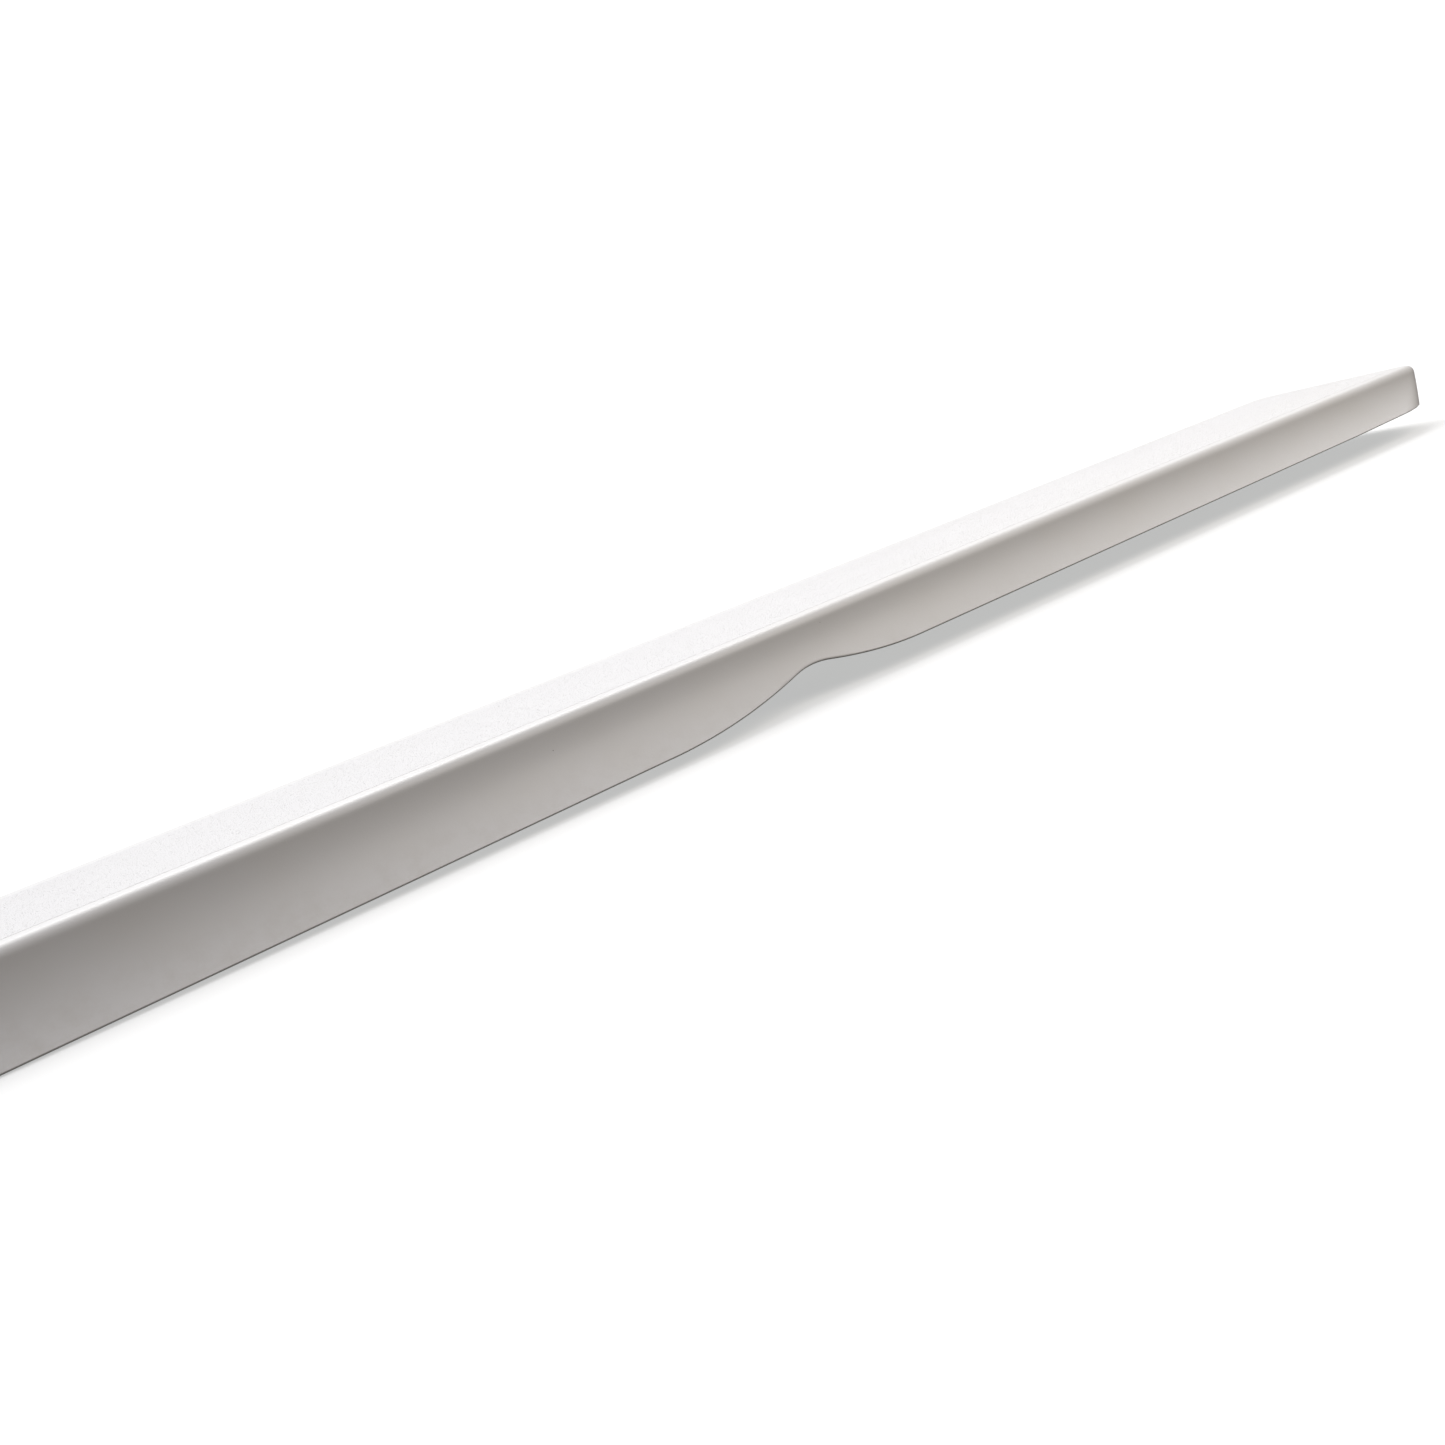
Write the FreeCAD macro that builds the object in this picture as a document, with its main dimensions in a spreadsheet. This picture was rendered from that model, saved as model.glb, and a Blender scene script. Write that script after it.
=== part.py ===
import FreeCAD, Part
import math
import os
import Sketcher

# Moulded fibreglass diving board, millimetres.
# Frame: X runs along the board with the diver's tip at +X, Y across it, Z up.
# The origin is the middle of the box around the board, at the height of its lowest edge.

os.makedirs("parts", exist_ok=True)
doc = FreeCAD.newDocument("diving_board")

# ---------------------------------------------------------------- driving dimensions
sheet = doc.addObject("Spreadsheet::Sheet", "sizes")
DIMENSIONS = [
    ("board_length", 2438),       # over the lips, 8 ft
    ("board_width", 406),         # over the lips, 16 in
    ("flare", 40),                # how far the lip stands out beyond the shoulder
    ("tip_flare", 14),            # and at the tip, where the end face is nearly upright
    ("cove_power", 2.2),          # how late the skirt turns outwards on its way down
    ("skirt_rear", 103),          # depth of the skirt below the deck at the bolted end
    ("skirt_tip", 62),            # and at the tip
    ("wall", 5),                  # moulded shell, measured level
    ("shoulder_radius", 12),      # rounding between deck and skirt
    ("corner_radius", 35),        # corners of the deck seen from above
    ("lip_corner_growth", 115),   # how much rounder the lip's corners are at the tip
    ("rear_corner_growth", 65),   # and at the bolted end
    ("lip_radius", 1.5),          # rounding of the lip's outer edge
    ("notch_position", 1064),     # fulcrum notch, from the bolted end
    ("notch_depth", 58),          # crown of the notch below the deck
    ("crown_radius", 120),
    ("rear_foot_radius", 900),    # run into the notch on the bolted side
    ("front_foot_radius", 615),   # run out of the notch on the tip side
    ("front_foot_depth", 74.5),   # skirt depth just ahead of the notch
    ("front_trim_end", 2160),     # where the trimmed lip meets the moulded lip again
    ("tread_thickness", 0.8),
    ("tread_margin", 20),         # smooth border between tread and shoulder
    ("tread_start", 112),         # rear edge of the tread, from the bolted end
    ("tread_corner", 30),
    ("laminate", 2),              # glass-fibre skin above and below the wooden core
    ("core_thickness", 44),
    ("stringer_width", 37),
    ("rear_block", 160),          # length of the cross-grained block at the bolted end
    ("tip_block", 80),            # and of the one in the tip
    ("bolt_setback", 76),         # bolt holes, from the bolted end
    ("bolt_spacing", 230),        # bolt holes, centre to centre across the board
    ("bolt_hole", 13.5),          # bore for a half-inch bolt
    ("sleeve_outside", 20),
    ("pad_length", 120),
    ("pad_width", 300),
    ("pad_thickness", 8),
    ("pad_corner", 12),
]
STRINGER_COUNT = 8
for row, (name, value) in enumerate(DIMENSIONS, start=1):
    sheet.set(f"A{row}", name)
    sheet.set(f"B{row}", str(value))
    sheet.setAlias(f"B{row}", name)
doc.recompute()


def size(name):
    return float(getattr(sheet, name))


# Heights and distances used by several pieces, written as sheet expressions.
DECK = "sizes.skirt_rear"
HALF_LENGTH = "sizes.board_length / 2"
LIP_TILT = "atan((sizes.skirt_rear - sizes.skirt_tip) / sizes.board_length)"
DECK_REAR = f"(-{HALF_LENGTH} + sizes.flare)"
DECK_TIP = f"({HALF_LENGTH} - sizes.tip_flare)"
DECK_WIDTH = "(sizes.board_width - 2 * sizes.flare)"
CORE_TOP = f"{DECK} - sizes.wall - sizes.laminate"
CORE_BOTTOM = f"{CORE_TOP} - sizes.core_thickness"
UNDERSIDE = f"{CORE_BOTTOM} - sizes.laminate"
CORE_START = f"-{HALF_LENGTH} + sizes.flare + sizes.wall + sizes.rear_block"
CORE_END = f"{DECK_TIP} - sizes.wall - sizes.tip_block"


# ---------------------------------------------------------------- helpers
def origin_plane(body, role):
    for feature in body.Origin.OriginFeatures:
        if feature.Role == role:
            return feature
    raise ValueError(role)


def new_body(name):
    body = doc.addObject("PartDesign::Body", name)
    body.Label = name
    return body


def new_sketch(body, name, role="XY_Plane"):
    sketch = body.newObject("Sketcher::SketchObject", name)
    sketch.AttachmentSupport = [(origin_plane(body, role), "")]
    sketch.MapMode = "FlatFace"
    return sketch


def lift(sketch, height, tilt=None):
    """Raise a sketch to a height and, if asked, tilt it up towards the tip."""
    start_turn = FreeCAD.Rotation()
    if tilt is not None:
        start_turn = FreeCAD.Rotation(FreeCAD.Vector(0, 1, 0), -0.5)
    sketch.AttachmentOffset = FreeCAD.Placement(FreeCAD.Vector(0, 0, 1), start_turn)
    if tilt is not None:
        sketch.setExpression(".AttachmentOffset.Rotation.Angle", f"-({tilt})")
    sketch.setExpression(".AttachmentOffset.Base.z", height)


def rounded_rectangle(sketch, length, width, radius, centre_x="0", rear_radius=None):
    """Four sides and four tangent corners, centred across the board, the rear pair its own size."""
    a, b, r = 1000.0, 170.0, 70.0
    line = Part.LineSegment
    vector = FreeCAD.Vector
    sides = [
        line(vector(-a + r, -b, 0), vector(a - r, -b, 0)),
        line(vector(a, -b + r, 0), vector(a, b - r, 0)),
        line(vector(a - r, b, 0), vector(-a + r, b, 0)),
        line(vector(-a, b - r, 0), vector(-a, -b + r, 0)),
    ]
    centres = [(a - r, -b + r), (a - r, b - r), (-a + r, b - r), (-a + r, -b + r)]
    geometry = []
    for index, side in enumerate(sides):
        start = (index - 1) * math.pi / 2
        circle = Part.Circle(vector(*centres[index], 0), vector(0, 0, 1), r)
        geometry.append(side)
        geometry.append(Part.ArcOfCircle(circle, start, start + math.pi / 2))
    sketch.addGeometry(geometry, False)
    for index in range(8):
        following = (index + 1) % 8
        sketch.addConstraint(Sketcher.Constraint("Tangent", index, 2, following, 1))
    for index in (0, 4):
        sketch.addConstraint(Sketcher.Constraint("Horizontal", index))
    for index in (2, 6):
        sketch.addConstraint(Sketcher.Constraint("Vertical", index))
    for corner, opposite in ((1, 3), (5, 7)):
        sketch.addConstraint(Sketcher.Constraint("Equal", corner, opposite))
    driven = [
        (Sketcher.Constraint("Radius", 1, r), radius),
        (Sketcher.Constraint("Radius", 5, r), rear_radius or radius),
        (Sketcher.Constraint("DistanceX", -1, 1, 2, 1, a), f"({centre_x}) + ({length}) / 2"),
        (Sketcher.Constraint("DistanceX", 6, 1, -1, 1, a), f"({length}) / 2 - ({centre_x})"),
        (Sketcher.Constraint("DistanceY", -1, 1, 4, 1, b), f"({width}) / 2"),
        (Sketcher.Constraint("DistanceY", 0, 1, -1, 1, b), f"({width}) / 2"),
    ]
    for constraint, expression in driven:
        index = sketch.addConstraint(constraint)
        sketch.setExpression(f"Constraints[{index}]", expression)


def mould_section(body, name, fraction, inset, level=None):
    """The board's outline at a fraction of the way down the skirt, moved in by inset."""
    sketch = new_sketch(body, name)
    tilt = f"{fraction} * {LIP_TILT}"
    if level is None:
        level = f"{DECK} - {fraction} * (sizes.skirt_rear + sizes.skirt_tip) / 2"
    lift(sketch, level, tilt)
    share = f"{fraction} ^ sizes.cove_power"
    growth = f"(sizes.flare * {share} - {inset})"
    rear_end = f"({DECK_REAR} - {growth})"
    tip_end = f"({DECK_TIP} + sizes.tip_flare * {share} - {inset})"
    rounded_rectangle(
        sketch,
        f"({tip_end} - {rear_end}) / cos({tilt})",
        f"{DECK_WIDTH} + 2 * {growth}",
        f"sizes.corner_radius + sizes.lip_corner_growth * {share} - {inset}",
        f"({tip_end} + {rear_end}) / 2",
        f"sizes.corner_radius + sizes.rear_corner_growth * {share} - {inset}",
    )
    return sketch


def loft_through(body, name, sections):
    loft = body.newObject("PartDesign::AdditiveLoft", name)
    loft.Profile = sections[0]
    loft.Sections = sections[1:]
    loft.Ruled = False
    body.Tip = loft
    doc.recompute()
    return loft


def box(name, x_from, x_to, y_from, y_to, z_from, z_to):
    """A plain block between two corners, each side written as a sheet expression."""
    block = doc.addObject("Part::Box", name)
    block.Label = name
    block.setExpression("Length", f"({x_to}) - ({x_from})")
    block.setExpression("Width", f"({y_to}) - ({y_from})")
    block.setExpression("Height", f"({z_to}) - ({z_from})")
    block.setExpression(".Placement.Base.x", x_from)
    block.setExpression(".Placement.Base.y", y_from)
    block.setExpression(".Placement.Base.z", z_from)
    return block


def rod(name, diameter, x, y, z_from, z_to):
    """An upright cylinder."""
    cylinder = doc.addObject("Part::Cylinder", name)
    cylinder.Label = name
    cylinder.setExpression("Radius", f"({diameter}) / 2")
    cylinder.setExpression("Height", f"({z_to}) - ({z_from})")
    cylinder.setExpression(".Placement.Base.x", x)
    cylinder.setExpression(".Placement.Base.y", y)
    cylinder.setExpression(".Placement.Base.z", z_from)
    return cylinder


def cut(name, base, tool):
    result = doc.addObject("Part::Cut", name)
    result.Label = name
    result.Base = base
    result.Tool = tool
    return result


def shared_volume(name, first, second):
    result = doc.addObject("Part::Common", name)
    result.Label = name
    result.Base = first
    result.Tool = second
    return result


nodes = []


def keep(feature, node):
    """Mark a feature as a finished piece under its own name."""
    feature.Label = node
    nodes.append(feature)
    return feature


# ---------------------------------------------------------------- the mould
# The outside of the shell: level deck, cove-shaped skirt and a lip line that
# rises towards the tip. The same flare at every depth makes the cove deeper
# at the bolted end and tighter at the tip. The end face of the tip flares less,
# and the corners get rounder on the way down, so a corner stands nearly upright.
COVE_STEPS = (0.35, 0.6, 0.8)

outside = new_body("mould_outside")
outside_sections = [mould_section(outside, "deck_outline", 0, "0")]
for number, step in enumerate(COVE_STEPS, start=1):
    outside_sections.append(mould_section(outside, f"cove_outline_{number}", step, "0"))
outside_sections.append(mould_section(outside, "lip_outline", 1, "0"))
outside_loft = loft_through(outside, "outside_cove", outside_sections)


def round_top(body, loft, name, height, radius):
    """Round the edges all round the level top of a loft."""
    top_edges = []
    for number, edge in enumerate(loft.Shape.Edges, start=1):
        if min(vertex.Z for vertex in edge.Vertexes) > height - 0.01:
            top_edges.append(f"Edge{number}")
    fillet = body.newObject("PartDesign::Fillet", name)
    fillet.Base = (loft, top_edges)
    fillet.setExpression("Radius", radius)
    body.Tip = fillet


round_top(outside, outside_loft, "shoulder", size("skirt_rear"), "sizes.shoulder_radius")

# The inside of the shell follows the outside one wall thickness in, and runs
# on past the lip so that the shell stays open underneath.
inside = new_body("mould_inside")
inside_sections = [
    mould_section(inside, "ceiling_outline", 0, "sizes.wall", f"{DECK} - sizes.wall")
]
for number, step in enumerate(COVE_STEPS + (1.0,), start=1):
    inside_sections.append(mould_section(inside, f"inner_outline_{number}", step, "sizes.wall"))
inside_sections.append(mould_section(inside, "below_outline", 1.1, "sizes.wall"))
inside_loft = loft_through(inside, "inside_cove", inside_sections)
round_top(inside, inside_loft, "inner_shoulder", size("skirt_rear") - size("wall"),
          "sizes.shoulder_radius - sizes.wall")


# The lip is trimmed along a drawn line: an arched notch over the fulcrum and,
# ahead of it, a slightly shallower skirt that meets the moulded lip near the tip.
trim = new_body("lip_trim")
trim_sketch = new_sketch(trim, "trim_line", "XZ_Plane")


def lip_height(x):
    """Height of the untrimmed lip at a distance from the middle of the board."""
    share = x / size("board_length") + 0.5
    return (size("skirt_rear") - size("skirt_tip")) * share


def draw_trim_line():
    deck = size("skirt_rear")
    crown_x = size("notch_position") - size("board_length") / 2
    crown_r = size("crown_radius")
    rear_r = size("rear_foot_radius")
    front_r = size("front_foot_radius")
    crown_z = deck - size("notch_depth") - crown_r
    rear_z = lip_height(crown_x - 250) + rear_r
    front_z = deck - size("front_foot_depth") + front_r
    rear_x = crown_x - math.sqrt((crown_r + rear_r) ** 2 - (rear_z - crown_z) ** 2)
    front_x = crown_x + math.sqrt((crown_r + front_r) ** 2 - (front_z - crown_z) ** 2)
    vector = FreeCAD.Vector
    rear_share = crown_r / (crown_r + rear_r)
    front_share = crown_r / (crown_r + front_r)
    rear_join = vector(crown_x + (rear_x - crown_x) * rear_share,
                       crown_z + (rear_z - crown_z) * rear_share, 0)
    front_join = vector(crown_x + (front_x - crown_x) * front_share,
                        crown_z + (front_z - crown_z) * front_share, 0)
    rear_foot = vector(rear_x, rear_z - rear_r, 0)
    front_foot = vector(front_x, front_z - front_r, 0)
    end_x = size("front_trim_end") - size("board_length") / 2
    end = vector(end_x, lip_height(end_x), 0)
    floor = -30
    left = -size("board_length") / 2
    right = size("board_length") / 2
    axis = vector(0, 0, 1)

    def arc(centre, radius, first, second):
        start = math.atan2(first.y - centre.y, first.x - centre.x)
        stop = math.atan2(second.y - centre.y, second.x - centre.x)
        return Part.ArcOfCircle(Part.Circle(centre, axis, radius), start, stop)

    geometry = [
        arc(vector(rear_x, rear_z, 0), rear_r, rear_foot, rear_join),
        arc(vector(crown_x, crown_z, 0), crown_r, front_join, rear_join),
        arc(vector(front_x, front_z, 0), front_r, front_join, front_foot),
        Part.LineSegment(front_foot, end),
        Part.LineSegment(end, vector(end_x, floor, 0)),
        Part.LineSegment(vector(end_x, floor, 0), vector(rear_x, floor, 0)),
        Part.LineSegment(vector(rear_x, floor, 0), rear_foot),
    ]
    trim_sketch.addGeometry(geometry, False)
    trim_sketch.addGeometry(
        Part.LineSegment(vector(left, 0, 0), vector(right, lip_height(right), 0)), True
    )
    make = Sketcher.Constraint
    plain = [
        make("Tangent", 0, 2, 1, 2),
        make("Tangent", 1, 1, 2, 1),
        make("Tangent", 2, 2, 3, 1),
        make("Coincident", 3, 2, 4, 1),
        make("Coincident", 4, 2, 5, 1),
        make("Coincident", 5, 2, 6, 1),
        make("Coincident", 6, 2, 0, 1),
        make("Vertical", 4),
        make("Horizontal", 5),
        make("Vertical", 6),
        make("PointOnObject", 0, 1, 7),
        make("Tangent", 0, 7),
        make("PointOnObject", 3, 2, 7),
    ]
    for constraint in plain:
        trim_sketch.addConstraint(constraint)
    driven = [
        (make("DistanceX", 7, 1, -1, 1, -left), "sizes.board_length / 2"),
        (make("DistanceX", -1, 1, 7, 2, right), "sizes.board_length / 2"),
        (make("DistanceY", -1, 1, 7, 2, 40), "sizes.skirt_rear - sizes.skirt_tip"),
        (make("Radius", 0, rear_r), "sizes.rear_foot_radius"),
        (make("Radius", 1, crown_r), "sizes.crown_radius"),
        (make("Radius", 2, front_r), "sizes.front_foot_radius"),
        (make("DistanceX", 1, 3, -1, 1, -crown_x), "sizes.board_length / 2 - sizes.notch_position"),
        (make("DistanceY", 1, 3, -1, 1, -crown_z),
         "sizes.crown_radius + sizes.notch_depth - sizes.skirt_rear"),
        (make("DistanceY", -1, 1, 3, 1, deck - size("front_foot_depth")),
         "sizes.skirt_rear - sizes.front_foot_depth"),
        (make("DistanceX", -1, 1, 3, 2, end_x), "sizes.front_trim_end - sizes.board_length / 2"),
        (make("DistanceY", 4, 2, -1, 1, -floor), "30"),
    ]
    for constraint, expression in driven:
        index = trim_sketch.addConstraint(constraint)
        trim_sketch.setExpression(f"Constraints[{index}]", expression)
    # The left end of the moulded lip lies on the floor plane.
    trim_sketch.addConstraint(make("PointOnObject", 7, 1, -1))


draw_trim_line()
doc.recompute()
print("trim constraints left over", trim_sketch.solve())
trim_pad = trim.newObject("PartDesign::Pad", "trim_across")
trim_pad.Profile = trim_sketch
trim_pad.SideType = "Symmetric"
trim_pad.setExpression("Length", "sizes.board_width + 40")
trim.Tip = trim_pad
doc.recompute()

# ---------------------------------------------------------------- bolt drills
BOLT_X = f"-{HALF_LENGTH} + sizes.bolt_setback"
BOLT_SIDES = (("left", "sizes.bolt_spacing / 2"), ("right", "-sizes.bolt_spacing / 2"))
wide_drills = [
    rod(f"{side}_sleeve_drill", "sizes.sleeve_outside", BOLT_X, y, "0", f"{DECK} + 5")
    for side, y in BOLT_SIDES
]
sleeve_drills = doc.addObject("Part::MultiFuse", "sleeve_drills")
sleeve_drills.Shapes = wide_drills

# ---------------------------------------------------------------- moulded shell
hollow_shell = cut("hollow_shell", outside, inside)
trimmed_shell = cut("trimmed_shell", hollow_shell, trim)
doc.recompute()


def faces_down(face):
    u_from, u_to, v_from, v_to = face.ParameterRange
    return face.normalAt((u_from + u_to) / 2, (v_from + v_to) / 2).z < -0.8


def lip_edges(shell, mould, radius):
    """The edges where the lip's underside meets the outside of the mould, for rounding."""
    skin = Part.Compound([face for face in mould.Faces if not faces_down(face)])
    undersides = [face for face in shell.Faces if faces_down(face)]
    found = []
    for number, edge in enumerate(shell.Edges, start=1):
        middle = edge.valueAt((edge.FirstParameter + edge.LastParameter) / 2)
        on_outside = skin.distToShape(Part.Vertex(middle))[0] < 0.01
        if on_outside and any(edge.isSame(side) for face in undersides for side in face.Edges):
            found.append((number, radius, radius))
    return found


rounded_shell = doc.addObject("Part::Fillet", "rounded_lip")
rounded_shell.Base = trimmed_shell
rounded_shell.Edges = lip_edges(trimmed_shell.Shape, outside.Shape, size("lip_radius"))
print("lip edges rounded:", len(rounded_shell.Edges))
deck_shell = keep(cut("drilled_shell", rounded_shell, sleeve_drills), "deck_shell")

# ---------------------------------------------------------------- non-slip tread
tread = new_body("tread_coat")
tread_sketch = new_sketch(tread, "tread_outline")
lift(tread_sketch, DECK)
TREAD_START = f"-{HALF_LENGTH} + sizes.tread_start"
TREAD_END = f"{DECK_TIP} - sizes.shoulder_radius - sizes.tread_margin"
rounded_rectangle(
    tread_sketch,
    f"({TREAD_END}) - ({TREAD_START})",
    f"{DECK_WIDTH} - 2 * sizes.shoulder_radius - 2 * sizes.tread_margin",
    "sizes.tread_corner",
    f"(({TREAD_END}) + ({TREAD_START})) / 2",
)
tread_pad = tread.newObject("PartDesign::Pad", "tread_film")
tread_pad.Profile = tread_sketch
tread_pad.setExpression("Length", "sizes.tread_thickness")
tread.Tip = tread_pad
keep(tread, "anti_slip_tread")

# ---------------------------------------------------------------- laminated core
FAR = f"{HALF_LENGTH} + 20"
WIDE = "sizes.board_width / 2 + 20"
CORE_HALF = f"{STRINGER_COUNT} * sizes.stringer_width / 2"


def inside_shell(node, region, drilled=False):
    """Fit a block to the inside of the shell, with the sleeve holes if they cross it."""
    fitted = shared_volume(f"{node}_fitted", region, inside)
    if drilled:
        fitted = cut(f"{node}_drilled", fitted, sleeve_drills)
    return keep(fitted, node)


upper_region = box("upper_region", f"-({FAR})", FAR, f"-({WIDE})", WIDE,
                   CORE_TOP, f"{DECK} - sizes.wall")
inside_shell("upper_laminate", upper_region, drilled=True)

lower_region = box("lower_region", f"-({FAR})", FAR, f"-({WIDE})", WIDE, UNDERSIDE, CORE_BOTTOM)
inside_shell("lower_laminate", lower_region, drilled=True)

for number in range(1, STRINGER_COUNT + 1):
    right_side = f"-({CORE_HALF}) + {number - 1} * sizes.stringer_width"
    stringer = box(f"stringer_{number:02d}", CORE_START, CORE_END,
                   right_side, f"{right_side} + sizes.stringer_width", CORE_BOTTOM, CORE_TOP)
    keep(stringer, f"core_stringer_{number:02d}")

rear_region = box("rear_block_region", f"-({FAR})", CORE_START, f"-({WIDE})", WIDE,
                  CORE_BOTTOM, CORE_TOP)
inside_shell("rear_end_block", rear_region, drilled=True)
tip_region = box("tip_block_region", CORE_END, FAR, f"-({WIDE})", WIDE, CORE_BOTTOM, CORE_TOP)
inside_shell("tip_end_block", tip_region)

left_region = box("left_rail_region", CORE_START, CORE_END, CORE_HALF, WIDE,
                  CORE_BOTTOM, CORE_TOP)
inside_shell("left_edge_rail", left_region)
right_region = box("right_rail_region", CORE_START, CORE_END, f"-({WIDE})", f"-({CORE_HALF})",
                   CORE_BOTTOM, CORE_TOP)
inside_shell("right_edge_rail", right_region)

# ---------------------------------------------------------------- bolt sleeves
for (side, y), outer in zip(BOLT_SIDES, wide_drills):
    barrel = rod(f"{side}_sleeve_barrel", "sizes.sleeve_outside", BOLT_X, y, UNDERSIDE, DECK)
    bore = rod(f"{side}_sleeve_bore", "sizes.bolt_hole", BOLT_X, y,
               f"{UNDERSIDE} - 5", f"{DECK} + 5")
    keep(cut(f"{side}_sleeve", barrel, bore), f"bolt_sleeve_{side}")

# ---------------------------------------------------------------- fulcrum pad
NOTCH_X = f"sizes.notch_position - {HALF_LENGTH}"
pad = box("pad_block", f"{NOTCH_X} - sizes.pad_length / 2", f"{NOTCH_X} + sizes.pad_length / 2",
          "-sizes.pad_width / 2", "sizes.pad_width / 2",
          f"{UNDERSIDE} - sizes.pad_thickness", UNDERSIDE)
doc.recompute()
rounded_pad = doc.addObject("Part::Fillet", "rounded_pad")
rounded_pad.Base = pad
upright = []
for number, edge in enumerate(pad.Shape.Edges, start=1):
    first, last = edge.Vertexes
    if abs(first.X - last.X) < 0.01 and abs(first.Y - last.Y) < 0.01:
        upright.append((number, size("pad_corner"), size("pad_corner")))
rounded_pad.Edges = upright
keep(rounded_pad, "fulcrum_pad")

# ---------------------------------------------------------------- checks and files
doc.recompute()
for feature in doc.Objects:
    if "Invalid" in feature.State or "Error" in feature.State:
        raise RuntimeError(f"{feature.Label} failed: {feature.State}")
for feature in nodes:
    shape = feature.Shape
    if shape.isNull() or not shape.isValid():
        raise RuntimeError(f"{feature.Label} has no valid shape")
    shape.exportStep(f"parts/{feature.Label}.step")
    box_text = ", ".join(
        f"{low:.1f}..{high:.1f}"
        for low, high in (
            (shape.BoundBox.XMin, shape.BoundBox.XMax),
            (shape.BoundBox.YMin, shape.BoundBox.YMax),
            (shape.BoundBox.ZMin, shape.BoundBox.ZMax),
        )
    )
    print(f"{feature.Label}: {len(shape.Solids)} solid, {shape.Volume / 1000:.1f} cm3, {box_text}")
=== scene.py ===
# %% [markdown]
# # A moulded diving board
#
# A home-pool diving board is a laminate. A white shell is moulded first, a core
# of glued softwood strips is bonded under its deck, and glass-fibre mat closes
# the underside. The shell's sides sweep outwards in a hollow curve, a cove, and
# end in a thin lip. An arch in each lip leaves room for the stand's fulcrum bar.
#
# The solids and their sizes are loaded first. Everything here is built round them.

# %% Load the solids
import math

import bmesh
import bpy
from mathutils import Matrix, Vector


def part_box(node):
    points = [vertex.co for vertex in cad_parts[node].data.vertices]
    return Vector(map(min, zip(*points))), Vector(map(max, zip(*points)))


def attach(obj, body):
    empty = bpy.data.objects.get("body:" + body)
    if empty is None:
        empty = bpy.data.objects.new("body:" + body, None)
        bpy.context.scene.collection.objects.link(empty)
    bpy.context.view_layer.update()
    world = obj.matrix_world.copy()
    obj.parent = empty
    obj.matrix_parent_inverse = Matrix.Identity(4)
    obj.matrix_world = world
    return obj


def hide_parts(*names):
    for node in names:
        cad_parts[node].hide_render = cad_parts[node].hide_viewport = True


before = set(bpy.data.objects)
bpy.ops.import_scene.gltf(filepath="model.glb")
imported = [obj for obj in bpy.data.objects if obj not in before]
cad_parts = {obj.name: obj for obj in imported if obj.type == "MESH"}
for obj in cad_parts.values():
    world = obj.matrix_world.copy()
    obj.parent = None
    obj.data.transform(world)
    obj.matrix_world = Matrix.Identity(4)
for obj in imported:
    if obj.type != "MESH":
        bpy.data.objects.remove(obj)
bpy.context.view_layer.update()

# %% [markdown]
# ## Sizes
#
# The deck's height and the bolt holes are read off the solids. The length and
# width over the lips are a little more than the solid's box shows, because its
# lip is rounded, and the rules of the cove and the notch can't be read off a box
# at all. So those numbers stand here, in metres.

# %% Sizes of the board
shell_low, shell_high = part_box("deck_shell")
DECK = shell_high[2]
LENGTH = 2.438
WIDTH = 0.406

FLARE = 0.040
TIP_FLARE = 0.014
COVE_POWER = 2.2
SKIRT_REAR = 0.103
SKIRT_TIP = 0.062
WALL = 0.005
SHOULDER = 0.012
DECK_CORNER = 0.035
LIP_CORNER_GROWTH = 0.115
REAR_CORNER_GROWTH = 0.065
LIP_ROUND = 0.0031
DECK_RIM = 0.008
BOLT_SLEEVE = 0.010

NOTCH_X = 1.064 - LENGTH / 2
NOTCH_DEPTH = 0.058
CROWN = 0.120
REAR_FOOT = 0.900
FRONT_FOOT = 0.615
FRONT_FOOT_DEPTH = 0.0745
TRIM_END_X = 2.160 - LENGTH / 2

sleeve_places = []
for side in ("left", "right"):
    low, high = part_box(f"bolt_sleeve_{side}")
    sleeve_places.append(((low[0] + high[0]) / 2, (low[1] + high[1]) / 2))
shell_size = [round(high - low, 4) for low, high in zip(shell_low, shell_high)]
print("shell measures", shell_size, "and its sleeves stand at", sleeve_places)

# %% [markdown]
# ## A hand for node trees
#
# The shell follows a rule, so it is made by Geometry Nodes. Rules are sums, and
# a sum drawn as separate Math nodes is hard to read. `Flow` wraps a socket so
# that plain Python sums add the nodes. The finished tree is an ordinary one.


# %% Sums that draw their own nodes
class Flow:
    """A number or vector that flows through a node tree."""

    def __init__(self, tree, socket):
        self.tree = tree
        self.socket = socket

    def step(self, operation, *others):
        node = self.tree.nodes.new("ShaderNodeMath")
        node.operation = operation
        for slot, value in zip(node.inputs, (self, *others)):
            plug(self.tree, slot, value)
        return Flow(self.tree, node.outputs[0])

    def __add__(self, other):
        return self.step("ADD", other)

    def __sub__(self, other):
        return self.step("SUBTRACT", other)

    def __rsub__(self, other):
        return constant(self.tree, other).step("SUBTRACT", self)

    def __mul__(self, other):
        return self.step("MULTIPLY", other)

    def __truediv__(self, other):
        return self.step("DIVIDE", other)

    def __pow__(self, other):
        return self.step("POWER", other)


def plug(tree, slot, value):
    """Feed a node's input with another node's output or with a plain number."""
    if isinstance(value, Flow):
        tree.links.new(value.socket, slot)
    elif isinstance(value, bpy.types.NodeSocket):
        tree.links.new(value, slot)
    elif value is not None:
        slot.default_value = value


def constant(tree, value):
    """A plain number as a flow."""
    node = tree.nodes.new("ShaderNodeValue")
    node.outputs[0].default_value = value
    return Flow(tree, node.outputs[0])


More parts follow.
